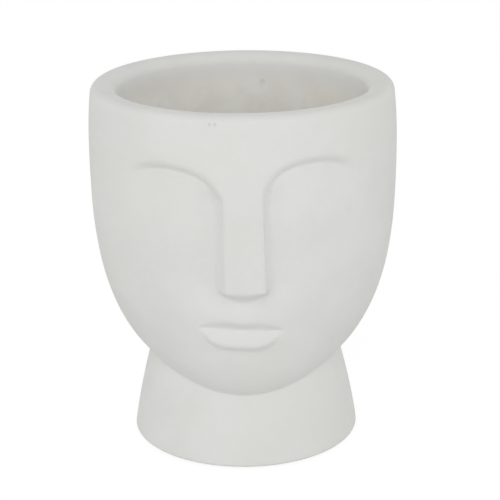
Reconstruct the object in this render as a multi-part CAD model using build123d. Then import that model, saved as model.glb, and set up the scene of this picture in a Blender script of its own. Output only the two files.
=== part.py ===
from build123d import *
import math
import os

# Head planter: one cast pot in the shape of a head and neck, a bung for its drain hole and four felt feet.
# Millimetres, +Z up, the face looks along -Y, and the foot pads stand on z = 0.
# Levels are heights above the underside of the casting, which the pads lift off the table.

# Casting, overall
CASTING_HEIGHT = 179.5
HEAD_RADIUS = 75.1
WIDEST_LEVEL = 150.0
WALL_AT_RIM = 13.5
RIM_OUTER_ROUND = 3.8
RIM_INNER_ROUND = 4.5
CROWN_RISE = 135.0

# Head below its widest level: a superellipse of the sides, and a squarer one down the middle of the face
SIDE_DEPTH = 124.8
SIDE_DROP_POWER = 2.92
SIDE_ROUND_POWER = 2.15
JAW_DEPTH = 118.9
JAW_DROP_POWER = 1.2
JAW_ROUND_POWER = 7.6
JAW_END_ANGLE = 66.8
HEAD_END_LEVEL = 34.0

# Neck
BASE_RADIUS = 57.0
NECK_MIDDLE_RADIUS = 52.9
NECK_MIDDLE_LEVEL = 23.0
NECK_TOP_RADIUS = 47.1
NECK_TOP_LEVEL = 46.0
NECK_END_LEVEL = 58.0
BASE_EDGE_ROUND = 1.5

# Planting cavity
FLOOR_THICKNESS = 14.0
FLOOR_RADIUS = 33.0
FLOOR_CORNER_ROUND = 6.0
THROAT_RADIUS = 37.5
THROAT_LEVEL = 44.0
BOWL_RADIUS = 56.5
BOWL_LEVEL = 90.0

# Foot ring and drain hole
FOOT_RING_WIDTH = 15.0
FOOT_RECESS_DEPTH = 2.0
FOOT_RECESS_BEVEL = 1.5
DRAIN_RADIUS = 7.0

# Brows: each is the top of an ellipse, with a long inner side that turns down into the nose
BROW_OUT_LEFT = 36.5
BROW_OUT_RIGHT = 33.5
BROW_LEVEL_LEFT = 144.0
BROW_LEVEL_RIGHT = 146.5
BROW_RISE = 9.6
BROW_TAIL = 18.0
BROW_STEP_WIDTH = 4.4
BROW_STEP_DEPTH = 3.0
BROW_FADE_START = 42.0
BROW_FADE_END = 57.0
SOCKET_REACH = 18.0
STEP_POWER = 1.7

# Nose: a ridge with a flat front and sloping flanks, and a short slanted underside
NOSE_OUT = 4.7
NOSE_ROOT_LEVEL = 150.0
NOSE_TIP_LEVEL = 97.2
NOSE_UNDERSIDE = 6.5
NOSE_TIP_HALF_WIDTH = 8.4
NOSE_CORNER_RISE = 7.0
NOSE_GROWTH_POWER = 1.4
NOSE_FADE = 12.0
NOSE_FOOT_TOP_LEFT = 15.2
NOSE_FOOT_TOP_RIGHT = 14.0
NOSE_FOOT_TIP_LEFT = 17.2
NOSE_FOOT_TIP_RIGHT = 16.4
NOSE_FRONT_TOP_LEFT = 8.8
NOSE_FRONT_TOP_RIGHT = 8.8
NOSE_FRONT_TIP_LEFT = 8.0
NOSE_FRONT_TIP_RIGHT = 9.2
NOSE_MIDDLE_BLEND = 3.0
GROOVE_DEPTH = 2.4
GROOVE_REACH = 6.5
GROOVE_POWER = 1.8
GROOVE_END_LEVEL = 87.0
GROOVE_FADE = 13.0

# Mouth: the upper lip slopes in to a slit, and the lower lip swells out of it and ends in a rounded step
MOUTH_LEVEL = 75.6
MOUTH_SHIFT = -1.6
MOUTH_SLANT = -2.8
MOUTH_HALF_WIDTH = 21.0
LIP_BOTTOM_HALF_WIDTH = 13.2
LIP_HEIGHT = 11.2
LIP_CREST = 7.6
LIP_OUT = 3.0
LIP_EDGE = 4.0
LIP_CORNER_ROUND = 3.4
SLIT_DEPTH = 0.8
UPPER_LIP_HEIGHT = 6.2
UPPER_LIP_DIP = 0.8
UPPER_LIP_DIP_HALF_WIDTH = 4.0
UPPER_LIP_POWER = 3.0
UPPER_LIP_END_SHARE = 0.12
MOUND_OUT = 2.6
MOUND_HEIGHT = 14.5
MOUND_HALF_WIDTH = 12.0

# Drain plug
PLUG_CLEARANCE = 0.05
PLUG_STEM_LENGTH = 9.0
PLUG_STEM_TAPER = 0.8
PLUG_RIB_DEPTH = 0.5
PLUG_RIB_PITCH = 2.6
PLUG_FLANGE_RADIUS = 12.0
PLUG_FLANGE_THICKNESS = 2.0
PLUG_FLANGE_BEVEL = 0.8
PLUG_SEAT_CLEARANCE = 0.3
PLUG_TAB_WIDTH = 11.0
PLUG_TAB_THICKNESS = 3.0
PLUG_TAB_HEIGHT = 9.0
PLUG_TAB_HOLE_RADIUS = 2.2

# Foot pads
PAD_COUNT = 4
PAD_RADIUS = 5.0
PAD_THICKNESS = 1.0

# Sections of the head: distances between rows, and between columns round the front and the back
FACE_END_ANGLE = 72.0
FACE_FADE_ANGLE = 12.0
CHIN_TURN = 10.0
ROW_PITCH = 2.2
WIDE_ROW_PITCH = 6.5
RIM_ROUND_ROWS = 4
COLUMN_PITCH = 2.2
WIDE_COLUMN_PITCH = 4.6
BACK_COLUMN_PITCH = 22.0
OVERRUN = 5.0


def ease(value):
    """Rises smoothly from 0 to 1 as the value does."""
    value = min(max(value, 0.0), 1.0)
    return value * value * (3 - 2 * value)


def superellipse(drop_share, drop_power, round_power):
    """The share of the full radius that is left, a share of the depth below the widest level."""
    return (1 - min(drop_share, 1.0) ** drop_power) ** (1 / round_power)


def side_radius(level):
    """Radius of the head at its sides and back."""
    if level >= WIDEST_LEVEL:
        return HEAD_RADIUS * superellipse((level - WIDEST_LEVEL) / CROWN_RISE, 2, 2)
    drop_share = (WIDEST_LEVEL - level) / SIDE_DEPTH
    return HEAD_RADIUS * superellipse(drop_share, SIDE_DROP_POWER, SIDE_ROUND_POWER)


def jaw_radius(level):
    """Radius down the middle of the face, without brows, nose and mouth."""
    if level >= WIDEST_LEVEL:
        return side_radius(level)
    drop_share = (WIDEST_LEVEL - level) / JAW_DEPTH
    return HEAD_RADIUS * superellipse(drop_share, JAW_DROP_POWER, JAW_ROUND_POWER)


def plain_radius(angle, level):
    """Radius of the head before its face is modelled, at an angle in degrees from the middle of the face."""
    side = side_radius(level)
    return side + (jaw_radius(level) - side) * (1 - ease(abs(angle) / JAW_END_ANGLE))


def between(left, right, x):
    """A size of the left side, of the right side, or in between near the middle of the face."""
    return left + (right - left) * ease((x + NOSE_MIDDLE_BLEND) / (2 * NOSE_MIDDLE_BLEND))


def brow_and_nose(x, level):
    """How far the forehead, brows, eye sockets and nose stand out from the plain head."""
    out = abs(x)
    brow_out = between(BROW_OUT_LEFT, BROW_OUT_RIGHT, x)
    brow_level = between(BROW_LEVEL_LEFT, BROW_LEVEL_RIGHT, x)
    foot_top = between(NOSE_FOOT_TOP_LEFT, NOSE_FOOT_TOP_RIGHT, x)
    foot_tip = between(NOSE_FOOT_TIP_LEFT, NOSE_FOOT_TIP_RIGHT, x)
    front_top = between(NOSE_FRONT_TOP_LEFT, NOSE_FRONT_TOP_RIGHT, x)
    front_tip = between(NOSE_FRONT_TIP_LEFT, NOSE_FRONT_TIP_RIGHT, x)
    up_nose = min(max((level - NOSE_TIP_LEVEL) / (brow_level - NOSE_TIP_LEVEL), 0.0), 1.0)
    foot = foot_tip + (foot_top - foot_tip) * up_nose
    front = front_tip + (front_top - front_tip) * up_nose

    # How far inside the eye socket the point lies, from the line where the brow or the nose meets it
    half_width = brow_out - foot_top if out < brow_out else BROW_TAIL
    across_share = (out - brow_out) / half_width
    if level > brow_level:
        up_share = (level - brow_level) / BROW_RISE
        reach = math.hypot(across_share, up_share)
        slope = math.hypot(across_share / half_width, up_share / BROW_RISE)
        inside = (1 - reach) * reach / slope if slope else BROW_RISE
    else:
        inside = out - foot
    flank = foot - front
    brow_blend = ease((level - brow_level + BROW_STEP_WIDTH) / (2 * BROW_STEP_WIDTH))
    step_width = flank + (BROW_STEP_WIDTH - flank) * brow_blend
    step_share = min(max(1 + inside / step_width, 0.0), 1.0)
    flank_shape = ease(step_share)
    sunk = flank_shape + (step_share ** STEP_POWER - flank_shape) * brow_blend

    # Depth of the socket under the brow, and of the groove beside the nose
    arch = math.sqrt(max(1 - across_share ** 2, 0.0))
    below_brow = max(brow_level + BROW_RISE * arch - level, 0.0)
    brow_fade = 1 - ease((out - BROW_FADE_START) / (BROW_FADE_END - BROW_FADE_START))
    socket = BROW_STEP_DEPTH * brow_fade * math.exp(-(below_brow / SOCKET_REACH) ** 2)
    groove_span = ease((level - GROOVE_END_LEVEL) / GROOVE_FADE)
    groove_span *= ease((NOSE_ROOT_LEVEL - level) / GROOVE_FADE)
    beside_nose = max(out - foot, 0.0)
    groove = GROOVE_DEPTH * groove_span * math.exp(-(beside_nose / GROOVE_REACH) ** GROOVE_POWER)

    # The nose grows out towards its tip, whose underside starts higher at the flanks
    growth = (NOSE_ROOT_LEVEL - level) / (NOSE_ROOT_LEVEL - NOSE_TIP_LEVEL)
    growth = min(max(growth, 0.0), 1.0) ** NOSE_GROWTH_POWER * (1 - ease((out - foot) / NOSE_FADE))
    flank_share = min(max((out - NOSE_TIP_HALF_WIDTH) / (foot_tip - NOSE_TIP_HALF_WIDTH), 0.0), 1.0)
    tip_level = NOSE_TIP_LEVEL + NOSE_CORNER_RISE * flank_share
    nose = NOSE_OUT * growth * (1 - ease((tip_level - level) / NOSE_UNDERSIDE))
    return nose * (1 - sunk) - (socket + groove) * sunk


def within_lower_lip(along, below):
    """Distance inside the lower lip's outline: slanting sides, a level bottom and round corners."""
    side_run = MOUTH_HALF_WIDTH - LIP_BOTTOM_HALF_WIDTH
    side_length = math.hypot(side_run, LIP_HEIGHT)
    from_side = ((MOUTH_HALF_WIDTH - abs(along)) * LIP_HEIGHT - below * side_run) / side_length
    from_bottom = LIP_HEIGHT - below
    bottom_share = (from_side - from_bottom) / LIP_CORNER_ROUND
    bottom_share = min(max((1 + bottom_share) / 2, 0.0), 1.0)
    rounding = LIP_CORNER_ROUND * bottom_share * (1 - bottom_share)
    return from_side + (from_bottom - from_side) * bottom_share - rounding


def mouth(x, level):
    """How far the lips stand out from the plain head, or the slit between them sinks in."""
    slant = math.radians(MOUTH_SLANT)
    along = (x - MOUTH_SHIFT) * math.cos(slant) + (level - MOUTH_LEVEL) * math.sin(slant)
    above = (level - MOUTH_LEVEL) * math.cos(slant) - (x - MOUTH_SHIFT) * math.sin(slant)
    end_share = min(abs(along) / MOUTH_HALF_WIDTH, 1.0)
    in_mouth = ease(within_lower_lip(along, max(-above, 0.0)) / LIP_EDGE)

    # The upper lip runs from the crest of the mound in to the slit, and has a dip in its middle
    dip = UPPER_LIP_DIP * math.exp(-(along / UPPER_LIP_DIP_HALF_WIDTH) ** 2)
    shape_share = max(1 - end_share ** UPPER_LIP_POWER, UPPER_LIP_END_SHARE)
    lip_cut = ease(above / (UPPER_LIP_HEIGHT * shape_share - dip))
    mound = MOUND_OUT * math.exp(-(along / MOUND_HALF_WIDTH) ** 2 / 2)
    mound *= ease((MOUND_HEIGHT - above) / (MOUND_HEIGHT - UPPER_LIP_HEIGHT))
    slow_fade = ease((above + MOUND_HEIGHT) / MOUND_HEIGHT)
    mound *= slow_fade + (lip_cut - slow_fade) * in_mouth

    # The lower lip swells out of the slit, steeply at first
    down_share = min(max(-above / LIP_CREST, 0.0), 1.0)
    swell = (SLIT_DEPTH + LIP_OUT) * (1 - (1 - down_share) ** 2)
    return mound + (swell - SLIT_DEPTH * (1 - lip_cut)) * in_mouth


def head_radius(angle, level):
    """Radius of the finished head, face and rim rounding included."""
    plain = plain_radius(angle, level)
    x = plain * math.sin(math.radians(angle))
    if abs(angle) < FACE_END_ANGLE:
        fade = ease((FACE_END_ANGLE - abs(angle)) / FACE_FADE_ANGLE)
        plain += (brow_and_nose(x, level) + mouth(x, level)) * fade
    over_round = max(level - (CASTING_HEIGHT - RIM_OUTER_ROUND), 0.0)
    return plain - RIM_OUTER_ROUND + math.sqrt(max(RIM_OUTER_ROUND ** 2 - over_round ** 2, 0.0))


def steps(start, end, pitch):
    """Even steps from start to just before end."""
    count = max(round((end - start) / pitch), 1)
    return [start + (end - start) * index / count for index in range(count)]


def row_levels():
    """Levels of the head's sections, closer together at the chin, the mouth, the nose tip and the brows."""
    lip_bottom = MOUTH_LEVEL - LIP_HEIGHT
    mound_top = MOUTH_LEVEL + UPPER_LIP_HEIGHT + LIP_EDGE / 2
    nose_end = NOSE_TIP_LEVEL - NOSE_UNDERSIDE
    nose_corner = NOSE_TIP_LEVEL + NOSE_CORNER_RISE / 2
    brow_low = min(BROW_LEVEL_LEFT, BROW_LEVEL_RIGHT)
    brow_top = max(BROW_LEVEL_LEFT, BROW_LEVEL_RIGHT) + BROW_RISE + BROW_STEP_WIDTH
    round_start = CASTING_HEIGHT - RIM_OUTER_ROUND
    levels = steps(HEAD_END_LEVEL, HEAD_END_LEVEL + CHIN_TURN, ROW_PITCH)
    levels += steps(HEAD_END_LEVEL + CHIN_TURN, lip_bottom, WIDE_ROW_PITCH)
    levels += steps(lip_bottom, mound_top, ROW_PITCH)
    levels += steps(mound_top, nose_end, WIDE_ROW_PITCH)
    levels += steps(nose_end, nose_corner, ROW_PITCH)
    levels += steps(nose_corner, brow_low, WIDE_ROW_PITCH)
    levels += steps(brow_low, brow_top, ROW_PITCH)
    levels += steps(brow_top, round_start, WIDE_ROW_PITCH)
    for index in range(RIM_ROUND_ROWS + 1):
        levels.append(round_start + RIM_OUTER_ROUND * math.sin(math.pi / 2 * index / RIM_ROUND_ROWS))
    return levels


def column_angles():
    """Angles round each section, closest over the nose and mouth, and widest at the back."""
    fine_end = math.degrees(math.asin((MOUTH_HALF_WIDTH + BROW_STEP_WIDTH) / HEAD_RADIUS))
    degree_length = math.radians(HEAD_RADIUS)
    half = steps(0, fine_end, COLUMN_PITCH / degree_length)
    half += steps(fine_end, FACE_END_ANGLE, WIDE_COLUMN_PITCH / degree_length)
    half += steps(FACE_END_ANGLE, 180, BACK_COLUMN_PITCH / degree_length)
    return [-angle for angle in reversed(half[1:])] + half + [180]


def head_section(level):
    """One closed outline of the head."""
    points = []
    for angle in column_angles():
        radius = head_radius(angle, level)
        turn = math.radians(angle)
        points.append((radius * math.sin(turn), -radius * math.cos(turn), level))
    return Wire([Edge.make_spline(points, periodic=True)])


def neck_solid():
    """The neck flares out to the base, and its top end lies inside the head."""
    side = Spline(
        (BASE_RADIUS, 0),
        (NECK_MIDDLE_RADIUS, NECK_MIDDLE_LEVEL),
        (NECK_TOP_RADIUS, NECK_TOP_LEVEL),
    )
    end_radius = NECK_TOP_RADIUS - OVERRUN
    outline = [
        Line((0, 0), (BASE_RADIUS, 0)),
        side,
        Line((NECK_TOP_RADIUS, NECK_TOP_LEVEL), (end_radius, NECK_END_LEVEL)),
        Line((end_radius, NECK_END_LEVEL), (0, NECK_END_LEVEL)),
        Line((0, NECK_END_LEVEL), (0, 0)),
    ]
    upright = Plane.XZ * make_face(outline)
    neck = revolve(upright, Axis.Z)
    base_edge = neck.edges().filter_by(GeomType.CIRCLE).sort_by(Axis.Z)[0]
    return fillet(base_edge, BASE_EDGE_ROUND)


def mouth_radius():
    """Inner radius at the rim."""
    return side_radius(CASTING_HEIGHT) - WALL_AT_RIM


def cavity_solid():
    """The planting cavity: a bowl in the head that narrows to the throat, with a rounded floor corner."""
    flare = RIM_INNER_ROUND
    lip_level = CASTING_HEIGHT - flare
    wall_bottom = (FLOOR_RADIUS, FLOOR_THICKNESS + FLOOR_CORNER_ROUND)
    floor_end = (FLOOR_RADIUS - FLOOR_CORNER_ROUND, FLOOR_THICKNESS)
    wall = Spline(
        wall_bottom,
        (THROAT_RADIUS, THROAT_LEVEL),
        (BOWL_RADIUS, BOWL_LEVEL),
        (mouth_radius(), lip_level),
        tangents=[(0, 1), (0, 1)],
    )
    corner = RadiusArc(floor_end, wall_bottom, -FLOOR_CORNER_ROUND)
    rim_round = RadiusArc((mouth_radius(), lip_level), (mouth_radius() + flare, CASTING_HEIGHT), flare)
    top = CASTING_HEIGHT + OVERRUN
    outline = [
        Line((0, FLOOR_THICKNESS), floor_end),
        corner,
        wall,
        rim_round,
        Line((mouth_radius() + flare, CASTING_HEIGHT), (mouth_radius() + flare, top)),
        Line((mouth_radius() + flare, top), (0, top)),
        Line((0, top), (0, FLOOR_THICKNESS)),
    ]
    return revolve(Plane.XZ * make_face(outline), Axis.Z)


def planter_body():
    """One casting: head and neck, hollowed from above, with a foot ring and a drain hole with a sunk seat."""
    head = Solid.make_loft([head_section(level) for level in row_levels()])
    casting = head + neck_solid() - cavity_solid()
    recess_radius = BASE_RADIUS - FOOT_RING_WIDTH
    recess = Pos(0, 0, FOOT_RECESS_DEPTH - OVERRUN) * extrude(Circle(recess_radius), OVERRUN)
    recess = chamfer(recess.edges().group_by(Axis.Z)[-1], FOOT_RECESS_BEVEL)
    drain = Pos(0, 0, -OVERRUN) * extrude(Circle(DRAIN_RADIUS), FLOOR_THICKNESS + 2 * OVERRUN)
    seat = extrude(Circle(PLUG_FLANGE_RADIUS + PLUG_SEAT_CLEARANCE), PLUG_FLANGE_THICKNESS + OVERRUN)
    seat = Pos(0, 0, FLOOR_THICKNESS - PLUG_FLANGE_THICKNESS) * seat
    casting = casting - recess - drain - seat
    return Pos(0, 0, PAD_THICKNESS) * casting


def drain_plug():
    """A soft bung: a ribbed stem that tapers down, a flange that seals in its seat and a tab to pull."""
    stem_radius = DRAIN_RADIUS - PLUG_CLEARANCE
    tip_radius = stem_radius - PLUG_STEM_TAPER
    rib_count = round(PLUG_STEM_LENGTH / PLUG_RIB_PITCH)
    rib_height = PLUG_STEM_LENGTH / rib_count
    points = [(0, 0), (stem_radius, 0)]
    for index in range(rib_count):
        low_share = (index + 1) / rib_count
        radius = stem_radius + (tip_radius - stem_radius) * low_share
        points.append((radius, -rib_height * (index + 0.5)))
        if index < rib_count - 1:
            points.append((radius - PLUG_RIB_DEPTH, -rib_height * (index + 1)))
            points.append((radius, -rib_height * (index + 1)))
    points.append((tip_radius - PLUG_RIB_DEPTH, -PLUG_STEM_LENGTH))
    points.append((0, -PLUG_STEM_LENGTH))
    stem = revolve(Plane.XZ * make_face(Polyline(*points, close=True)), Axis.Z)
    flange = extrude(Circle(PLUG_FLANGE_RADIUS), PLUG_FLANGE_THICKNESS)
    flange = chamfer(flange.edges().group_by(Axis.Z)[-1], PLUG_FLANGE_BEVEL)
    tab_top = PLUG_TAB_HEIGHT - PLUG_TAB_WIDTH / 2
    outline = Pos(0, tab_top / 2) * Rectangle(PLUG_TAB_WIDTH, tab_top)
    outline += Pos(0, tab_top) * Circle(PLUG_TAB_WIDTH / 2)
    outline -= Pos(0, tab_top) * Circle(PLUG_TAB_HOLE_RADIUS)
    tab = extrude(Plane.XZ * outline, PLUG_TAB_THICKNESS / 2, both=True)
    tab = Pos(0, 0, PLUG_FLANGE_THICKNESS) * tab
    plug = stem + flange + tab
    return Pos(0, 0, PAD_THICKNESS + FLOOR_THICKNESS - PLUG_FLANGE_THICKNESS) * plug


def foot_pad(number):
    """A felt disc under the foot ring, one of an even set."""
    place_radius = BASE_RADIUS - FOOT_RING_WIDTH / 2
    turn = 360 / PAD_COUNT * (number - 0.5)
    return Rot(0, 0, turn) * Pos(place_radius, 0, 0) * extrude(Circle(PAD_RADIUS), PAD_THICKNESS)


def save(name, shape):
    """Writes one node as its own STEP file and says what it is."""
    solids = shape.solids()
    solid = solids[0] if len(solids) == 1 else shape
    export_step(solid, os.path.join("parts", name + ".step"))
    print(name, "solids", len(solids), "volume", round(solid.volume, 1))


os.makedirs("parts", exist_ok=True)
save("planter_body", planter_body())
save("drain_plug", drain_plug())
for pad_number in range(1, PAD_COUNT + 1):
    save("foot_pad_" + str(pad_number), foot_pad(pad_number))
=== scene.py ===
import math

import bpy
import numpy as np
from mathutils import Matrix, Vector


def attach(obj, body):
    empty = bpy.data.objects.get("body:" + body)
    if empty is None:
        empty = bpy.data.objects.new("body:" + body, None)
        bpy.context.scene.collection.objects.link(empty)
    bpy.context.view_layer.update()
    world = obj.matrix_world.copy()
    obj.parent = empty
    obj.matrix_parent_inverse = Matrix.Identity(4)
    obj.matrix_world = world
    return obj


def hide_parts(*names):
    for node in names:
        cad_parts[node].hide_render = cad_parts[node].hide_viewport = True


# Head planter of pale cast cement: a head and neck with a plain modelled face, open at the top.
# Metres, +Z up, the face looks along -Y. Levels are heights above the underside of the casting.

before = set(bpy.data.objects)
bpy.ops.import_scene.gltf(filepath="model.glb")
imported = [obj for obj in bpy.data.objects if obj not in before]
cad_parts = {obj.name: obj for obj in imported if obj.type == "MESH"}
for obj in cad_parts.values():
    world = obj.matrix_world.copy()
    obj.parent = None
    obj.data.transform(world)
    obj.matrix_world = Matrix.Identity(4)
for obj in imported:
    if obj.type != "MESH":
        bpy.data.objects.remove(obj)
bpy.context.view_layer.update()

MM = 0.001

# Casting, overall
PAD_THICKNESS = 1.0 * MM
CASTING_HEIGHT = 179.5 * MM
HEAD_RADIUS = 75.1 * MM
WIDEST_LEVEL = 150.0 * MM
CROWN_RISE = 135.0 * MM
WALL_AT_RIM = 12.5 * MM
RIM_OUTER_ROUND = 3.8 * MM
RIM_INNER_ROUND = 6.0 * MM

# Head below its widest level
SIDE_DEPTH = 124.8 * MM
SIDE_DROP_POWER = 2.92
SIDE_ROUND_POWER = 2.15
JAW_DEPTH = 118.9 * MM
JAW_DROP_POWER = 1.2
JAW_ROUND_POWER = 7.6
JAW_END_ANGLE = 66.8
HEAD_END_LEVEL = 34.0 * MM

# Neck and foot
BASE_RADIUS = 57.0 * MM
NECK_MIDDLE_RADIUS = 52.9 * MM
NECK_MIDDLE_LEVEL = 23.0 * MM
NECK_TOP_RADIUS = 47.1 * MM
NECK_TOP_LEVEL = 46.0 * MM
BASE_EDGE_ROUND = 1.5 * MM
FOOT_RING_WIDTH = 15.0 * MM
FOOT_RECESS_DEPTH = 2.0 * MM
FOOT_RECESS_ROUND = 1.5 * MM
DRAIN_RADIUS = 7.0 * MM
PLUG_SEAT_RADIUS = 12.3 * MM
PLUG_SEAT_DEPTH = 2.0 * MM
CREASE_SOFTNESS = 0.5 * MM

# Planting cavity
FLOOR_THICKNESS = 14.0 * MM
FLOOR_RADIUS = 33.0 * MM
FLOOR_CORNER_ROUND = 6.0 * MM
THROAT_RADIUS = 37.5 * MM
THROAT_LEVEL = 44.0 * MM
BOWL_RADIUS = 56.5 * MM
BOWL_LEVEL = 90.0 * MM
THROAT_LEAN = 0.32
BOWL_LEAN = 0.2

# Brows: each is the top of an ellipse, with a long inner side that turns down into the nose
BROW_OUT = (36.5 * MM, 33.5 * MM)
BROW_LEVEL = (144.0 * MM, 146.5 * MM)
BROW_RISE = 9.6 * MM
BROW_TAIL = 18.0 * MM
BROW_STEP_WIDTH = 4.4 * MM
BROW_STEP_DEPTH = 3.0 * MM
BROW_FADE_START = 42.0 * MM
BROW_FADE_END = 57.0 * MM
SOCKET_REACH = 18.0 * MM
STEP_POWER = 1.7
FLANK_POWER = 2.0

# Nose: a ridge with a flat front and sloping flanks, and a short slanted underside
NOSE_OUT = 4.7 * MM
NOSE_ROOT_LEVEL = 150.0 * MM
NOSE_TIP_LEVEL = 97.2 * MM
NOSE_UNDERSIDE = 7.0 * MM
NOSE_UNDERSIDE_TAPER = 0.55
NOSE_FLANK_FADE = 9.0 * MM
NOSE_TIP_HALF_WIDTH = 9.6 * MM
NOSE_CORNER_RISE = 5.0 * MM
NOSE_GROWTH_POWER = 1.4
NOSE_FADE = 12.0 * MM
NOSE_FOOT_TOP = (15.2 * MM, 14.0 * MM)
NOSE_FOOT_TIP = (17.2 * MM, 16.4 * MM)
NOSE_FRONT_TOP = (8.8 * MM, 8.8 * MM)
NOSE_FRONT_TIP = (8.3 * MM, 9.2 * MM)
NOSE_MIDDLE_BLEND = 3.0 * MM
GROOVE_DEPTH = 2.4 * MM
GROOVE_REACH = 6.5 * MM
GROOVE_POWER = 1.8
GROOVE_END_LEVEL = 87.0 * MM
GROOVE_FADE = 13.0 * MM

# Mouth: the upper lip slopes in to a slit, and the lower lip swells out of it and ends in a rounded step
MOUTH_LEVEL = 75.6 * MM
MOUTH_SHIFT = -1.6 * MM
MOUTH_SLANT = -2.8
MOUTH_HALF_WIDTH = 21.0 * MM
LIP_BOTTOM_HALF_WIDTH = 13.2 * MM
LIP_HEIGHT = 11.2 * MM
LIP_CREST = 7.6 * MM
LIP_OUT = 3.0 * MM
LIP_EDGE = 4.0 * MM
LIP_CORNER_ROUND = 5.5 * MM
SLIT_DEPTH = 0.8 * MM
UPPER_LIP_HEIGHT = 6.2 * MM
UPPER_LIP_DIP = 0.8 * MM
UPPER_LIP_DIP_HALF_WIDTH = 4.0 * MM
UPPER_LIP_POWER = 3.0
UPPER_LIP_END_SHARE = 0.12
MOUND_OUT = 2.6 * MM
MOUND_HEIGHT = 14.5 * MM
MOUND_HALF_WIDTH = 12.0 * MM
FACE_END_ANGLE = 72.0
FACE_FADE_ANGLE = 12.0

# Fineness of the casting's skin: pitches of its rows and columns, and counts of rings on its flat parts
ROW_PITCH = 0.8 * MM
WIDE_ROW_PITCH = 1.6 * MM
CHIN_ROW_PITCH = 0.4 * MM
CHIN_ROWS_HEIGHT = 12.0 * MM
NECK_ROW_PITCH = 3.0 * MM
INNER_ROW_PITCH = 4.5 * MM
FACE_COLUMN_DEGREES = 0.5
FACE_COLUMNS_END = 50
BACK_COLUMN_DEGREES = 2.2
BACK_COLUMNS_START = 80
BROW_TOP_LEVEL = 160.0 * MM
PINHOLE_LEVEL = 172.0 * MM
ROUND_STEPS = 6
RECESS_RINGS = 4
FOOT_RINGS = 5
RIM_RINGS = 6
FLOOR_RINGS = 5
SEAT_RINGS = 3
DRAIN_RINGS = 3
SHARP_EDGE_ANGLE = 50

# Unevenness of a cast skin, which grows from the rim down the bowl
OUTSIDE_UNEVEN = 0.05 * MM
INSIDE_UNEVEN = 0.35 * MM
UNEVEN_START = 12.0 * MM
UNEVEN_SEED = 3
WAVE_COUNT = 24
WAVE_LENGTHS = (14.0 * MM, 60.0 * MM)

# Air holes and small nicks of the rim: angle, level, radius and depth
AIR_HOLES = [
    (-11.5, 175.6 * MM, 0.6 * MM, 1.3 * MM),
    (-9.5, 175.6 * MM, 0.6 * MM, 1.6 * MM),
    (-92.0, 178.4 * MM, 1.0 * MM, 0.8 * MM),
    (112.7, 178.6 * MM, 1.3 * MM, 0.9 * MM),
]

# Smaller holes scattered over the outside
SMALL_HOLE_SEED = 11
SMALL_HOLE_COUNT = 26
SMALL_HOLE_ANGLES = (-170, 170)
SMALL_HOLE_LEVELS = (8.0 * MM, 170.0 * MM)
SMALL_HOLE_RADII = (0.25 * MM, 0.5 * MM)
SMALL_HOLE_DEPTH_SHARE = 0.7

# Pale tone, deeper tone, stain tone and pock tone of the cement, as display colours
OUTSIDE_TONES = (
    (0.903, 0.903, 0.893),
    (0.892, 0.892, 0.882),
    (0.894, 0.892, 0.875),
    (0.893, 0.893, 0.883),
)
# The bowl's set is painted lighter than the outside's, as painted light that stands in for light reaching
# down into the bowl; its stains and pocks are the cement's own
BOWL_TONES_PAINTED_LIGHT = (
    (0.945, 0.942, 0.925),
    (0.92, 0.914, 0.893),
    (0.928, 0.914, 0.877),
    (0.885, 0.872, 0.835),
)

# Depth below the rim over which the bowl's painted-lighter tones turn into the outside's, so the painted
# light fades out towards the rim
RIM_BLEND = 14.0 * MM

# Cement's effects: where each starts, how much it shows, and its scale against that of the cloudy patches
STAIN_START = 0.2
STAIN_SHOW = 0.6
FLECK_SHOW = 0.25
POCK_SHOW = 0.7
SHEEN_SPREAD = 0.05
CEMENT_SPECULAR = 0.25
STAIN_SCALE = 0.4
POCK_SCALE = 1.9

# Shared effects: scales in repeats per metre, and the range of each noise over which its effect fades in
PATCH_RANGE = (0.38, 0.66)
FLECK_SCALE = 900.0
FLECK_RANGE = (0.66, 0.74)
PORE_SCALE = 420.0
PORE_RANGE = (0.02, 0.16)
POCK_EDGE_SCALE = 700.0
POCK_EDGE_WOBBLE = 0.1
POCK_FADE_RANGE = (0.7, 1.8)
POCK_FIELD_SCALE = 34.0
POCK_FIELD_RANGE = (0.4, 0.5)
GRAIN_STRENGTH = 0.6

# Bung and pads: the two display colours between which each varies, and its finish
RUBBER_TONES = ((0.17, 0.17, 0.17), (0.23, 0.23, 0.225))
RUBBER_ROUGHNESS = (0.5, 0.7)
FELT_TONES = ((0.46, 0.45, 0.43), (0.38, 0.37, 0.35))
FELT_ROUGHNESS = 0.95
FELT_SHEEN = 0.4

# How steeply a direction looks up where the level light starts and ends its change to the overhead light
WORLD_BLEND = (0.1, 0.9)

# Studio floor: its size in metres, its linear colour, and its glow where it is seen directly
STUDIO_HALF_WIDTH = 3.0
STUDIO_WHITE = (0.85, 0.85, 0.85, 1)
STUDIO_GLOW = 1.1
STUDIO_GLOW_SHARE = 0.8


def ease(value):
    """Rises smoothly from 0 to 1 as the value does."""
    value = np.clip(value, 0.0, 1.0)
    return value * value * (3 - 2 * value)


def superellipse(drop_share, drop_power, round_power):
    """Falls from 1 to 0 as the share of the drop rises from 0 to 1."""
    return (1 - np.clip(drop_share, 0.0, 1.0) ** drop_power) ** (1 / round_power)


def crown_share(level):
    """Share of the full radius that is left above the widest level."""
    return superellipse((level - WIDEST_LEVEL) / CROWN_RISE, 2, 2)


def side_radius(level):
    """Radius of the head at its sides and back."""
    below = superellipse((WIDEST_LEVEL - level) / SIDE_DEPTH, SIDE_DROP_POWER, SIDE_ROUND_POWER)
    return HEAD_RADIUS * np.where(level >= WIDEST_LEVEL, crown_share(level), below)


def jaw_radius(level):
    """Radius down the middle of the face, without brows, nose and mouth."""
    below = superellipse((WIDEST_LEVEL - level) / JAW_DEPTH, JAW_DROP_POWER, JAW_ROUND_POWER)
    return HEAD_RADIUS * np.where(level >= WIDEST_LEVEL, crown_share(level), below)


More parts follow.
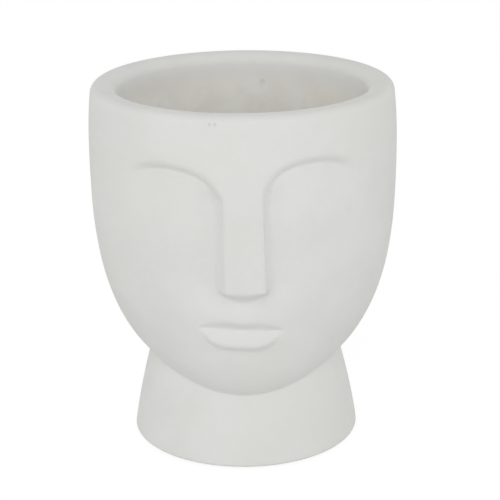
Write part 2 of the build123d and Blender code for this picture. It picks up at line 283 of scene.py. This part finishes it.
def plain_radius(angle, level):
    """Radius of the head without its features, from the jaw's outline round to the sides' outline."""
    side = side_radius(level)
    return side + (jaw_radius(level) - side) * (1 - ease(np.abs(angle) / JAW_END_ANGLE))


def between(pair, x):
    """A size of the left side, of the right side, or in between near the middle of the face."""
    left, right = pair
    return left + (right - left) * ease((x + NOSE_MIDDLE_BLEND) / (2 * NOSE_MIDDLE_BLEND))


def brow_and_nose(x, level):
    """How far the forehead, brows, eye sockets and nose stand out from the plain head."""
    out = np.abs(x)
    brow_out = between(BROW_OUT, x)
    brow_level = between(BROW_LEVEL, x)
    foot_top = between(NOSE_FOOT_TOP, x)
    foot_tip = between(NOSE_FOOT_TIP, x)
    front_top = between(NOSE_FRONT_TOP, x)
    front_tip = between(NOSE_FRONT_TIP, x)
    up_nose = np.clip((level - NOSE_TIP_LEVEL) / (brow_level - NOSE_TIP_LEVEL), 0, 1)
    foot = foot_tip + (foot_top - foot_tip) * up_nose
    front = front_tip + (front_top - front_tip) * up_nose

    # How far inside the eye socket the point lies, from the line where the brow or the nose meets it
    half_width = np.where(out < brow_out, brow_out - foot_top, BROW_TAIL)
    across_share = (out - brow_out) / half_width
    up_share = (level - brow_level) / BROW_RISE
    reach = np.hypot(across_share, up_share)
    slope = np.maximum(np.hypot(across_share / half_width, up_share / BROW_RISE), 1e-6)
    inside = np.where(level > brow_level, (1 - reach) * reach / slope, out - foot)
    brow_blend = ease((level - brow_level + BROW_STEP_WIDTH) / (2 * BROW_STEP_WIDTH))
    flank = foot - front
    step_width = flank + (BROW_STEP_WIDTH - flank) * brow_blend
    step_share = np.clip(1 + inside / step_width, 0, 1)
    flank_shape = 1 - (1 - step_share) ** FLANK_POWER
    sunk = flank_shape + (step_share ** STEP_POWER - flank_shape) * brow_blend

    # Depth of the socket under the brow, and of the groove beside the nose
    arch = np.sqrt(np.clip(1 - across_share ** 2, 0, 1))
    below_brow = np.maximum(brow_level + BROW_RISE * arch - level, 0)
    brow_fade = 1 - ease((out - BROW_FADE_START) / (BROW_FADE_END - BROW_FADE_START))
    socket = BROW_STEP_DEPTH * brow_fade * np.exp(-(below_brow / SOCKET_REACH) ** 2)
    groove_span = ease((level - GROOVE_END_LEVEL) / GROOVE_FADE)
    groove_span = groove_span * ease((NOSE_ROOT_LEVEL - level) / GROOVE_FADE)
    beside_nose = np.maximum(out - foot, 0)
    groove = GROOVE_DEPTH * groove_span * np.exp(-(beside_nose / GROOVE_REACH) ** GROOVE_POWER)

    # The nose grows out towards its tip, whose underside starts higher at the flanks
    growth = (NOSE_ROOT_LEVEL - level) / (NOSE_ROOT_LEVEL - NOSE_TIP_LEVEL)
    growth = np.clip(growth, 0, 1) ** NOSE_GROWTH_POWER * (1 - ease((out - foot) / NOSE_FADE))
    flank_share = np.clip((out - NOSE_TIP_HALF_WIDTH) / (foot_tip - NOSE_TIP_HALF_WIDTH), 0, 1)
    tip_level = NOSE_TIP_LEVEL + NOSE_CORNER_RISE * flank_share
    underside = NOSE_UNDERSIDE * (1 - NOSE_UNDERSIDE_TAPER * np.clip(out / NOSE_TIP_HALF_WIDTH, 0, 1) ** 2)
    underside = underside + NOSE_FLANK_FADE * flank_share
    nose = NOSE_OUT * growth * (1 - ease((tip_level - level) / underside))
    return nose * (1 - sunk) - (socket + groove) * sunk


def mouth(x, level):
    """How far the lips stand out from the plain head, or the slit between them sinks in."""
    slant = math.radians(MOUTH_SLANT)
    along = (x - MOUTH_SHIFT) * math.cos(slant) + (level - MOUTH_LEVEL) * math.sin(slant)
    above = (level - MOUTH_LEVEL) * math.cos(slant) - (x - MOUTH_SHIFT) * math.sin(slant)
    end_share = np.minimum(np.abs(along) / MOUTH_HALF_WIDTH, 1.0)

    # Distance inside the outline of the lower lip: slanting sides, a level bottom and round corners
    side_run = MOUTH_HALF_WIDTH - LIP_BOTTOM_HALF_WIDTH
    side_length = math.hypot(side_run, LIP_HEIGHT)
    below = np.minimum(above, 0)
    from_side = ((MOUTH_HALF_WIDTH - np.abs(along)) * LIP_HEIGHT + below * side_run) / side_length
    from_bottom = below + LIP_HEIGHT
    nearer = np.clip(0.5 + (from_side - from_bottom) / (2 * LIP_CORNER_ROUND), 0, 1)
    within = from_side + (from_bottom - from_side) * nearer - LIP_CORNER_ROUND * nearer * (1 - nearer)
    in_mouth = ease(within / LIP_EDGE)

    # The upper lip runs from the crest of the mound in to the slit, and has a dip in its middle
    dip = UPPER_LIP_DIP * np.exp(-(along / UPPER_LIP_DIP_HALF_WIDTH) ** 2)
    shape_share = np.maximum(1 - end_share ** UPPER_LIP_POWER, UPPER_LIP_END_SHARE)
    lip_height = UPPER_LIP_HEIGHT * shape_share - dip
    lip_cut = ease(above / lip_height)
    mound = MOUND_OUT * np.exp(-0.5 * (along / MOUND_HALF_WIDTH) ** 2)
    mound = mound * ease((MOUND_HEIGHT - above) / (MOUND_HEIGHT - UPPER_LIP_HEIGHT))
    slow_fade = ease((above + MOUND_HEIGHT) / MOUND_HEIGHT)
    mound = mound * (slow_fade + (lip_cut - slow_fade) * in_mouth)

    # The lower lip swells out of the slit, steeply at first
    down_share = np.clip(-above / LIP_CREST, 0, 1)
    swell = (SLIT_DEPTH + LIP_OUT) * (1 - (1 - down_share) ** 2)
    return mound + (swell - SLIT_DEPTH * (1 - lip_cut)) * in_mouth


def head_radius(angle, level):
    """Radius of the finished head, face and rim rounding included."""
    plain = plain_radius(angle, level)
    x = plain * np.sin(np.radians(angle))
    fade = ease((FACE_END_ANGLE - np.abs(angle)) / FACE_FADE_ANGLE)
    plain = plain + (brow_and_nose(x, level) + mouth(x, level)) * fade
    over_round = np.maximum(level - (CASTING_HEIGHT - RIM_OUTER_ROUND), 0)
    return plain - RIM_OUTER_ROUND + np.sqrt(np.maximum(RIM_OUTER_ROUND ** 2 - over_round ** 2, 0))


def curve_through(points, at):
    """Values at the given places of a parabola through three points."""
    (a, fa), (b, fb), (c, fc) = points
    first = fa * (at - b) * (at - c) / ((a - b) * (a - c))
    second = fb * (at - a) * (at - c) / ((b - a) * (b - c))
    return first + second + fc * (at - a) * (at - b) / ((c - a) * (c - b))


def neck_radius(level):
    """Radius of the waisted neck, with the rounded edge at its foot."""
    sides = ((0, BASE_RADIUS), (NECK_MIDDLE_LEVEL, NECK_MIDDLE_RADIUS), (NECK_TOP_LEVEL, NECK_TOP_RADIUS))
    radius = curve_through(sides, np.minimum(level, NECK_TOP_LEVEL))
    into_round = np.maximum(BASE_EDGE_ROUND - level, 0)
    return radius - BASE_EDGE_ROUND + np.sqrt(np.maximum(BASE_EDGE_ROUND ** 2 - into_round ** 2, 0))


def outside_radius(angle, level):
    """Neck and head in one: whichever stands further out, with a soft crease where they meet."""
    neck = neck_radius(level)
    head = np.where(level > HEAD_END_LEVEL, head_radius(angle, level), 0)
    apart = np.abs(head - neck) / CREASE_SOFTNESS
    return np.maximum(head, neck) + CREASE_SOFTNESS * np.log1p(np.exp(-apart))


def cavity_radius(level):
    """Inner wall from the top of the floor corner to the start of the rim's inner rounding."""
    mouth_radius = float(side_radius(np.array(CASTING_HEIGHT))) - WALL_AT_RIM
    corner_top = FLOOR_THICKNESS + FLOOR_CORNER_ROUND
    levels = [corner_top, THROAT_LEVEL, BOWL_LEVEL, CASTING_HEIGHT - RIM_INNER_ROUND]
    radii = [FLOOR_RADIUS, THROAT_RADIUS, BOWL_RADIUS, mouth_radius]
    leans = [0.0, THROAT_LEAN, BOWL_LEAN, 0.0]
    index = np.clip(np.searchsorted(levels, level, side="right") - 1, 0, 2)
    low = np.take(levels, index)
    span = np.take(levels, index + 1) - low
    t = np.clip((level - low) / span, 0, 1)
    start = np.take(radii, index)
    end = np.take(radii, index + 1)
    start_slope = np.take(leans, index) * span
    end_slope = np.take(leans, index + 1) * span
    return (
        start * (2 * t ** 3 - 3 * t ** 2 + 1)
        + start_slope * (t ** 3 - 2 * t ** 2 + t)
        + end * (3 * t ** 2 - 2 * t ** 3)
        + end_slope * (t ** 3 - t ** 2)
    )


def spread(start, end, pitch):
    """Even steps from start to just before end."""
    count = max(int(round(abs(end - start) / pitch)), 1)
    return start + (end - start) * np.arange(count) / count


def column_angles():
    """Angles round the head in degrees, close over the face and wide at the back."""
    half = np.concatenate([
        spread(0, FACE_COLUMNS_END, FACE_COLUMN_DEGREES),
        spread(FACE_COLUMNS_END, BACK_COLUMNS_START, (FACE_COLUMN_DEGREES + BACK_COLUMN_DEGREES) / 2),
        spread(BACK_COLUMNS_START, 180, BACK_COLUMN_DEGREES),
    ])
    return np.concatenate([-half[:0:-1], half, [180.0]])


def quarter():
    """Sine and cosine at each step between the ends of a quarter turn."""
    turn = np.radians(np.linspace(0, 90, ROUND_STEPS + 1)[1:-1])
    return list(zip(np.sin(turn), np.cos(turn)))


def casting_rings(angles):
    """Rings of radius and level round the casting's whole skin, and a mark for those inside the bowl."""
    rings = []

    def ring(radius, level, inside=False):
        rings.append((np.full_like(angles, radius), np.full_like(angles, level), inside))

    def outside_ring(level):
        ring(outside_radius(angles, np.full_like(angles, level)), level)

    # Underside: recess, its rounded edge, the flat foot ring and the round edge of the foot
    recess_radius = BASE_RADIUS - FOOT_RING_WIDTH
    recess_flat = recess_radius - FOOT_RECESS_ROUND
    for share in np.linspace(0, 1, RECESS_RINGS):
        ring(DRAIN_RADIUS + (recess_flat - DRAIN_RADIUS) * share, FOOT_RECESS_DEPTH)
    for sine, cosine in quarter():
        ring(recess_flat + FOOT_RECESS_ROUND * sine, FOOT_RECESS_DEPTH - FOOT_RECESS_ROUND * (1 - cosine))
    ring(recess_radius, FOOT_RECESS_DEPTH - FOOT_RECESS_ROUND)
    foot_flat = BASE_RADIUS - BASE_EDGE_ROUND
    for share in np.linspace(0, 1, FOOT_RINGS):
        ring(recess_radius + (foot_flat - recess_radius) * share, 0)
    for _, cosine in quarter():
        outside_ring(BASE_EDGE_ROUND * (1 - cosine))

    # Outside: neck, chin, face, forehead and the rim's outer rounding
    round_start = CASTING_HEIGHT - RIM_OUTER_ROUND
    chin_top = HEAD_END_LEVEL + CHIN_ROWS_HEIGHT
    levels = np.concatenate([
        spread(BASE_EDGE_ROUND, HEAD_END_LEVEL, NECK_ROW_PITCH),
        spread(HEAD_END_LEVEL, chin_top, CHIN_ROW_PITCH),
        spread(chin_top, BROW_TOP_LEVEL, ROW_PITCH),
        spread(BROW_TOP_LEVEL, PINHOLE_LEVEL, WIDE_ROW_PITCH),
        spread(PINHOLE_LEVEL, round_start, ROW_PITCH),
        round_start + RIM_OUTER_ROUND * np.sin(np.linspace(0, math.pi / 2, ROUND_STEPS + 1)),
    ])
    for level in levels:
        outside_ring(level)

    # Flat rim and its inner rounding
    rim_outer = rings[-1][0]
    wall_top = CASTING_HEIGHT - RIM_INNER_ROUND
    rim_inner = float(cavity_radius(np.array(wall_top))) + RIM_INNER_ROUND
    for share in np.linspace(0, 1, RIM_RINGS + 1)[1:]:
        ring(rim_outer + (rim_inner - rim_outer) * share, CASTING_HEIGHT)
    for sine, cosine in quarter():
        ring(rim_inner - RIM_INNER_ROUND * sine, CASTING_HEIGHT - RIM_INNER_ROUND * (1 - cosine))

    # Inside: wall, rounded corner, floor, the bung's seat and the drain hole
    wall_end = FLOOR_THICKNESS + FLOOR_CORNER_ROUND
    for level in spread(wall_top, wall_end, INNER_ROW_PITCH):
        ring(float(cavity_radius(np.array(level))), level, True)
    ring(FLOOR_RADIUS, wall_end, True)
    for sine, cosine in quarter():
        ring(FLOOR_RADIUS - FLOOR_CORNER_ROUND * (1 - cosine), wall_end - FLOOR_CORNER_ROUND * sine, True)
    corner_end = FLOOR_RADIUS - FLOOR_CORNER_ROUND
    for share in np.linspace(0, 1, FLOOR_RINGS):
        ring(corner_end + (PLUG_SEAT_RADIUS - corner_end) * share, FLOOR_THICKNESS, True)
    seat_level = FLOOR_THICKNESS - PLUG_SEAT_DEPTH
    for share in np.linspace(0, 1, SEAT_RINGS):
        ring(PLUG_SEAT_RADIUS + (DRAIN_RADIUS - PLUG_SEAT_RADIUS) * share, seat_level, True)
    for share in np.linspace(0, 1, DRAIN_RINGS + 2)[1:-1]:
        ring(DRAIN_RADIUS, seat_level + (FOOT_RECESS_DEPTH - seat_level) * share, True)
    return rings


def waves(points):
    """Gentle unevenness from crossing waves, about -1 to 1."""
    chance = np.random.default_rng(UNEVEN_SEED)
    total = np.zeros(len(points))
    for _ in range(WAVE_COUNT):
        direction = chance.normal(size=3)
        direction /= np.linalg.norm(direction)
        length = chance.uniform(*WAVE_LENGTHS)
        total += np.sin(points @ direction * (2 * math.pi / length) + chance.uniform(0, 2 * math.pi))
    return total / math.sqrt(WAVE_COUNT)


def air_holes():
    """The holes and nicks with a place of their own, then the scattered ones."""
    chance = np.random.default_rng(SMALL_HOLE_SEED)
    holes = list(AIR_HOLES)
    for _ in range(SMALL_HOLE_COUNT):
        angle = chance.uniform(*SMALL_HOLE_ANGLES)
        level = chance.uniform(*SMALL_HOLE_LEVELS)
        radius = chance.uniform(*SMALL_HOLE_RADII)
        holes.append((angle, level, radius, radius * SMALL_HOLE_DEPTH_SHARE))
    return holes


def make_casting():
    """The planter body: one closed skin, outside, over the rim, down the bowl and out of the drain hole."""
    angles = column_angles()
    rings = casting_rings(angles)
    columns = len(angles)
    turn = np.radians(angles)
    radius = np.array([ring[0] for ring in rings])
    level = np.array([ring[1] for ring in rings])
    points = np.stack([radius * np.sin(turn), -radius * np.cos(turn), level], -1).reshape(-1, 3)
    inside = np.repeat([ring[2] for ring in rings], columns)

    # The foot, the floor and the drain hole stay true, and the walls get their unevenness and air holes
    uneven_part = (points[:, 2] > FOOT_RECESS_DEPTH) & (np.hypot(points[:, 0], points[:, 1]) > FLOOR_RADIUS)
    depth_share = inside * ease((CASTING_HEIGHT - RIM_INNER_ROUND - points[:, 2]) / UNEVEN_START)
    uneven = OUTSIDE_UNEVEN + (INSIDE_UNEVEN - OUTSIDE_UNEVEN) * depth_share
    push = waves(points) * uneven * uneven_part
    for angle, hole_level, hole_radius, depth in air_holes():
        centre_radius = float(outside_radius(np.array([angle]), np.array([hole_level]))[0])
        hole_turn = math.radians(angle)
        centre = (centre_radius * math.sin(hole_turn), -centre_radius * math.cos(hole_turn), hole_level)
        away = np.linalg.norm(points - np.array(centre), axis=1)
        push = push - depth * np.exp(-(away / hole_radius) ** 2) * ~inside
    outward = points * np.array([1, 1, 0])
    outward /= np.maximum(np.linalg.norm(outward, axis=1, keepdims=True), 1e-9)
    points = points + outward * push[:, None]
    points[:, 2] += PAD_THICKNESS

    # Quads between each ring and the next, the last ring joined to the first
    ring_count = len(rings)
    ring_index, column_index = np.meshgrid(np.arange(ring_count), np.arange(columns), indexing="ij")
    next_ring = (ring_index + 1) % ring_count
    next_column = (column_index + 1) % columns
    corners = np.stack([
        ring_index * columns + column_index,
        ring_index * columns + next_column,
        next_ring * columns + next_column,
        next_ring * columns + column_index,
    ], -1).reshape(-1, 4)
    mesh = bpy.data.meshes.new("planter_casting")
    mesh.from_pydata(points.tolist(), [], corners.tolist())
    casting = bpy.data.objects.new("planter_casting", mesh)
    bpy.context.collection.objects.link(casting)
    face_inside = inside.reshape(ring_count, columns)[ring_index, column_index].reshape(-1)
    mesh.materials.append(cement(
        "pale_cement_outside", OUTSIDE_TONES, patch_size=30 * MM, roughness=0.82, pock_depth=0.05 * MM))
    # The bowl's cement is a lighter copy of the outside's: painted light inside the bowl
    mesh.materials.append(cement(
        "bowl_cement_painted_light", BOWL_TONES_PAINTED_LIGHT, patch_size=22 * MM, roughness=0.9, pock_depth=0.28 * MM))
    mesh.polygons.foreach_set("material_index", face_inside.astype(np.int32))
    mesh.shade_smooth()
    mesh.set_sharp_from_angle(angle=math.radians(SHARP_EDGE_ANGLE))
    mesh.update()
    return casting


def linear(tone):
    """A display colour as the linear colour that shaders take."""
    parts = [part / 12.92 if part <= 0.04045 else ((part + 0.055) / 1.055) ** 2.4 for part in tone]
    return (*parts, 1.0)


def group(name, inputs, outputs):
    """A shader node group with the given value inputs and outputs, and its entry and exit nodes."""
    made = bpy.data.node_groups.new(name, "ShaderNodeTree")
    for label, default in inputs:
        socket = made.interface.new_socket(label, in_out="INPUT", socket_type="NodeSocketFloat")
        socket.default_value = default
    for label in outputs:
        made.interface.new_socket(label, in_out="OUTPUT", socket_type="NodeSocketFloat")
    return made, made.nodes.new("NodeGroupInput"), made.nodes.new("NodeGroupOutput")


def noise(tree, place, scale, detail, roughness=0.5):
    """Cloudy noise, its scale a number or another node's value."""
    node = tree.nodes.new("ShaderNodeTexNoise")
    node.inputs["Detail"].default_value = detail
    node.inputs["Roughness"].default_value = roughness
    tree.links.new(place, node.inputs["Vector"])
    if isinstance(scale, (int, float)):
        node.inputs["Scale"].default_value = scale
    else:
        tree.links.new(scale, node.inputs["Scale"])
    return node.outputs["Fac"]


def ranged(tree, value, low, high, bottom=0.0, top=1.0):
    """Takes a value smoothly from the range low to high into the range bottom to top."""
    node = tree.nodes.new("ShaderNodeMapRange")
    node.interpolation_type = "SMOOTHSTEP"
    node.inputs["From Min"].default_value = low
    node.inputs["From Max"].default_value = high
    node.inputs["To Min"].default_value = bottom
    node.inputs["To Max"].default_value = top
    tree.links.new(value, node.inputs["Value"])
    return node.outputs["Result"]


def mottle_group():
    """Cloudy patches of a casting: broad ones, and small ones inside them."""
    tree, entry, exit_ = group("cast_mottle", [("Scale", 20.0)], ["Patches", "Flecks"])
    place = tree.nodes.new("ShaderNodeTexCoord").outputs["Object"]
    broad = noise(tree, place, entry.outputs["Scale"], detail=5.0, roughness=0.55)
    tree.links.new(ranged(tree, broad, *PATCH_RANGE), exit_.inputs["Patches"])
    flecks = noise(tree, place, FLECK_SCALE, detail=2.0)
    tree.links.new(ranged(tree, flecks, *FLECK_RANGE), exit_.inputs["Flecks"])
    return tree


def grain_group():
    """Height of a fine sandy grain with shallow pores."""
    tree, entry, exit_ = group("sandy_grain", [("Grain", 1400.0), ("Pores", 0.35)], ["Height"])
    place = tree.nodes.new("ShaderNodeTexCoord").outputs["Object"]
    fine = noise(tree, place, entry.outputs["Grain"], detail=4.0, roughness=0.6)
    pores = tree.nodes.new("ShaderNodeTexVoronoi")
    pores.inputs["Scale"].default_value = PORE_SCALE
    tree.links.new(place, pores.inputs["Vector"])
    hollow = ranged(tree, pores.outputs["Distance"], *PORE_RANGE)
    mix = tree.nodes.new("ShaderNodeMath")
    mix.operation = "MULTIPLY_ADD"
    tree.links.new(hollow, mix.inputs[0])
    tree.links.new(entry.outputs["Pores"], mix.inputs[1])
    tree.links.new(fine, mix.inputs[2])
    tree.links.new(mix.outputs[0], exit_.inputs["Height"])
    return tree


def pock_group():
    """Scattered shallow pocks that air leaves where the casting met its core, as a mask."""
    tree, entry, exit_ = group("core_pocks", [("Spacing", 60.0), ("Radius", 0.14)], ["Pocks"])
    place = tree.nodes.new("ShaderNodeTexCoord").outputs["Object"]
    cells = tree.nodes.new("ShaderNodeTexVoronoi")
    tree.links.new(place, cells.inputs["Vector"])
    tree.links.new(entry.outputs["Spacing"], cells.inputs["Scale"])
    wobble = noise(tree, place, POCK_EDGE_SCALE, detail=3.0)
    edge = tree.nodes.new("ShaderNodeMath")
    edge.operation = "MULTIPLY_ADD"
    tree.links.new(wobble, edge.inputs[0])
    edge.inputs[1].default_value = POCK_EDGE_WOBBLE
    tree.links.new(cells.outputs["Distance"], edge.inputs[2])
    share = tree.nodes.new("ShaderNodeMath")
    share.operation = "DIVIDE"
    tree.links.new(edge.outputs[0], share.inputs[0])
    tree.links.new(entry.outputs["Radius"], share.inputs[1])
    near = ranged(tree, share.outputs[0], *POCK_FADE_RANGE, 1.0, 0.0)
    kept = ranged(tree, noise(tree, place, POCK_FIELD_SCALE, detail=1.0), *POCK_FIELD_RANGE)
    both = tree.nodes.new("ShaderNodeMath")
    both.operation = "MULTIPLY"
    tree.links.new(near, both.inputs[0])
    tree.links.new(kept, both.inputs[1])
    tree.links.new(both.outputs[0], exit_.inputs["Pocks"])
    return tree


MOTTLE = mottle_group()
GRAIN = grain_group()
POCKS = pock_group()


def blank_material(name):
    """A new material with its node tree and its shader."""
    material = bpy.data.materials.new(name)
    material.use_nodes = True
    return material, material.node_tree, material.node_tree.nodes["Principled BSDF"]


def placed(tree, shared, **values):
    """A shared effect placed in a material with its own values."""
    node = tree.nodes.new("ShaderNodeGroup")
    node.node_tree = shared
    for label, value in values.items():
        node.inputs[label].default_value = value
    return node


def mixed(tree, share, first, second):
    """A colour between two, each a tone or another node's colour."""
    node = tree.nodes.new("ShaderNodeMix")
    node.data_type = "RGBA"
    tree.links.new(share, node.inputs["Factor"])
    for label, source in (("A", first), ("B", second)):
        socket = [each for each in node.inputs if each.name == label and each.type == "RGBA"][0]
        if isinstance(source, tuple):
            socket.default_value = linear(source)
        else:
            tree.links.new(source, socket)
    return [each for each in node.outputs if each.type == "RGBA"][0]


def grained(tree, shader, depth, **values):
    """Bump of the shared sandy grain on a shader."""
    bump = tree.nodes.new("ShaderNodeBump")
    bump.inputs["Distance"].default_value = depth
    bump.inputs["Strength"].default_value = GRAIN_STRENGTH
    tree.links.new(placed(tree, GRAIN, **values).outputs["Height"], bump.inputs["Height"])
    tree.links.new(bump.outputs["Normal"], shader.inputs["Normal"])
    return bump


def pocked(tree, shader, grain, depth, pocks):
    """Presses a mask of pocks into a surface that has its grain already."""
    bump = tree.nodes.new("ShaderNodeBump")
    bump.invert = True
    bump.inputs["Distance"].default_value = depth
    tree.links.new(pocks, bump.inputs["Height"])
    tree.links.new(grain.outputs["Normal"], bump.inputs["Normal"])
    tree.links.new(bump.outputs["Normal"], shader.inputs["Normal"])


def near_rim(tree):
    """Rises from 0 well below the rim to 1 just under it."""
    height = tree.nodes.new("ShaderNodeSeparateXYZ")
    tree.links.new(tree.nodes.new("ShaderNodeTexCoord").outputs["Object"], height.inputs["Vector"])
    rim_start = PAD_THICKNESS + CASTING_HEIGHT - RIM_INNER_ROUND
    return ranged(tree, height.outputs["Z"], rim_start - RIM_BLEND, rim_start)


def cement(name, tones, patch_size, roughness, pock_depth):
    """Matte cast cement: cloudy tone, stains, flecks, fine grain, pocks and a slightly uneven sheen."""
    material, tree, shader = blank_material(name)
    mottle = placed(tree, MOTTLE, Scale=1 / patch_size)
    stains = placed(tree, MOTTLE, Scale=STAIN_SCALE / patch_size)
    colour = mixed(tree, mottle.outputs["Patches"], tones[0], tones[1])
    stain_share = ranged(tree, stains.outputs["Patches"], STAIN_START, 1.0, 0.0, STAIN_SHOW)
    colour = mixed(tree, stain_share, colour, tones[2])
    fleck_share = ranged(tree, mottle.outputs["Flecks"], 0.0, 1.0, 0.0, FLECK_SHOW)
    colour = mixed(tree, fleck_share, colour, tones[1])
    pocks = placed(tree, POCKS, Spacing=POCK_SCALE / patch_size).outputs["Pocks"]
    colour = mixed(tree, ranged(tree, pocks, 0.0, 1.0, 0.0, POCK_SHOW), colour, tones[3])
    # In the bowl, the painted light fades into the outside's pale tone towards the rim
    if tones is not OUTSIDE_TONES:
        colour = mixed(tree, near_rim(tree), colour, OUTSIDE_TONES[0])
    tree.links.new(colour, shader.inputs["Base Color"])
    sheen_range = (roughness - SHEEN_SPREAD, roughness + SHEEN_SPREAD)
    sheen = ranged(tree, mottle.outputs["Patches"], 0.0, 1.0, *sheen_range)
    tree.links.new(sheen, shader.inputs["Roughness"])
    shader.inputs["Specular IOR Level"].default_value = CEMENT_SPECULAR
    grain = grained(tree, shader, depth=0.25 * MM, Grain=1400.0, Pores=0.3)
    pocked(tree, shader, grain, pock_depth, pocks)
    return material


def rubber():
    """Dark moulded rubber with a dusty bloom."""
    material, tree, shader = blank_material("bung_rubber")
    mottle = placed(tree, MOTTLE, Scale=140.0)
    colour = mixed(tree, mottle.outputs["Patches"], *RUBBER_TONES)
    tree.links.new(colour, shader.inputs["Base Color"])
    roughness = ranged(tree, mottle.outputs["Patches"], 0, 1, *RUBBER_ROUGHNESS)
    tree.links.new(roughness, shader.inputs["Roughness"])
    grained(tree, shader, depth=0.08 * MM, Grain=2600.0, Pores=0.1)
    return material


def felt():
    """Pressed felt: short fibres as a soft uneven surface with a fuzzy sheen."""
    material, tree, shader = blank_material("pad_felt")
    mottle = placed(tree, MOTTLE, Scale=320.0)
    colour = mixed(tree, mottle.outputs["Patches"], *FELT_TONES)
    tree.links.new(colour, shader.inputs["Base Color"])
    shader.inputs["Roughness"].default_value = FELT_ROUGHNESS
    shader.inputs["Sheen Weight"].default_value = FELT_SHEEN
    grained(tree, shader, depth=0.4 * MM, Grain=3200.0, Pores=0.6)
    return material


def finish_node(node, material):
    """Puts a material on a CAD node that stays."""
    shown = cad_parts[node]
    shown.data.materials.clear()
    shown.data.materials.append(material)


def set_camera():
    """The photograph's camera: its place, tilt and small roll, and a lens for a square frame."""
    frame_pixels = 500
    focal_pixels = 1595
    sensor_width = 36.0
    look_at = Vector((2.93 * MM, 0, 92.49 * MM + PAD_THICKNESS))
    elevation = math.radians(18.93)
    roll = math.radians(-0.62)
    distance = 800 * MM
    backward = Vector((0, -math.cos(elevation), math.sin(elevation)))
    right = Vector((1, 0, 0))
    upward = backward.cross(right)
    rolled_right = right * math.cos(roll) + upward * math.sin(roll)
    rolled_up = upward * math.cos(roll) - right * math.sin(roll)
    data = bpy.data.cameras.new("photo_camera")
    data.sensor_width = sensor_width
    data.lens = focal_pixels / frame_pixels * sensor_width
    data.clip_start = 10 * MM
    camera = bpy.data.objects.new("photo_camera", data)
    turn = Matrix((rolled_right, rolled_up, backward)).transposed()
    camera.matrix_world = Matrix.Translation(look_at + backward * distance) @ turn.to_4x4()
    bpy.context.collection.objects.link(camera)
    bpy.context.scene.camera = camera


def add_lamp(name, place, aim, size, power):
    """A square soft light at a place, turned to what it lights."""
    data = bpy.data.lights.new(name, "AREA")
    data.size = size
    data.energy = power
    lamp = bpy.data.objects.new(name, data)
    lamp.location = place
    lamp.rotation_euler = (Vector(aim) - Vector(place)).to_track_quat("-Z", "Y").to_euler()
    bpy.context.collection.objects.link(lamp)


def seen_directly(tree):
    """1 for rays from the camera, mirrors and clear materials, 0 for rays that carry light."""
    path = tree.nodes.new("ShaderNodeLightPath")
    total = path.outputs["Is Camera Ray"]
    for label in ("Is Glossy Ray", "Is Transmission Ray"):
        add = tree.nodes.new("ShaderNodeMath")
        add.operation = "ADD"
        add.use_clamp = True
        tree.links.new(total, add.inputs[0])
        tree.links.new(path.outputs[label], add.inputs[1])
        total = add.outputs[0]
    return total


def set_world(level_strength, overhead_strength):
    """White surroundings, brighter all round than overhead, and plain white where they are seen."""
    world = bpy.data.worlds.new("white_studio")
    bpy.context.scene.world = world
    world.use_nodes = True
    tree = world.node_tree
    background = tree.nodes["Background"]
    background.inputs["Color"].default_value = (1, 1, 1, 1)
    direction = tree.nodes.new("ShaderNodeSeparateXYZ")
    tree.links.new(tree.nodes.new("ShaderNodeTexCoord").outputs["Generated"], direction.inputs["Vector"])
    lit = ranged(tree, direction.outputs["Z"], *WORLD_BLEND, level_strength, overhead_strength)
    strength = tree.nodes.new("ShaderNodeMix")
    tree.links.new(seen_directly(tree), strength.inputs["Factor"])
    tree.links.new(lit, strength.inputs["A"])
    strength.inputs["B"].default_value = 1.0
    tree.links.new(strength.outputs["Result"], background.inputs["Strength"])


def make_floor():
    """A white sweep under the planter that keeps a faint shadow."""
    half = STUDIO_HALF_WIDTH
    corners = [(-half, -half, 0), (half, -half, 0), (half, half, 0), (-half, half, 0)]
    mesh = bpy.data.meshes.new("studio_floor")
    mesh.from_pydata(corners, [], [(0, 1, 2, 3)])
    floor = bpy.data.objects.new("studio_floor", mesh)
    bpy.context.collection.objects.link(floor)
    material, tree, shader = blank_material("floor_white")
    shader.inputs["Base Color"].default_value = STUDIO_WHITE
    shader.inputs["Roughness"].default_value = 1.0
    shader.inputs["Specular IOR Level"].default_value = 0.0
    glow = tree.nodes.new("ShaderNodeEmission")
    glow.inputs["Strength"].default_value = STUDIO_GLOW
    mix = tree.nodes.new("ShaderNodeMixShader")
    share = ranged(tree, seen_directly(tree), 0.0, 1.0, 0.0, STUDIO_GLOW_SHARE)
    tree.links.new(share, mix.inputs["Fac"])
    tree.links.new(shader.outputs["BSDF"], mix.inputs[1])
    tree.links.new(glow.outputs["Emission"], mix.inputs[2])
    tree.links.new(mix.outputs["Shader"], tree.nodes["Material Output"].inputs["Surface"])
    mesh.materials.append(material)


casting = make_casting()
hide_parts("planter_body")
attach(casting, "pot")

finish_node("drain_plug", rubber())
pad_felt = felt()
for number in range(1, 5):
    finish_node("foot_pad_" + str(number), pad_felt)

set_camera()
set_world(level_strength=1.1, overhead_strength=0.5)
add_lamp("key_softbox", place=(-0.06, -1.2, 0.95), aim=(0, 0, 0.1), size=0.5, power=3.3)
make_floor()
bpy.context.scene.view_settings.view_transform = "Standard"
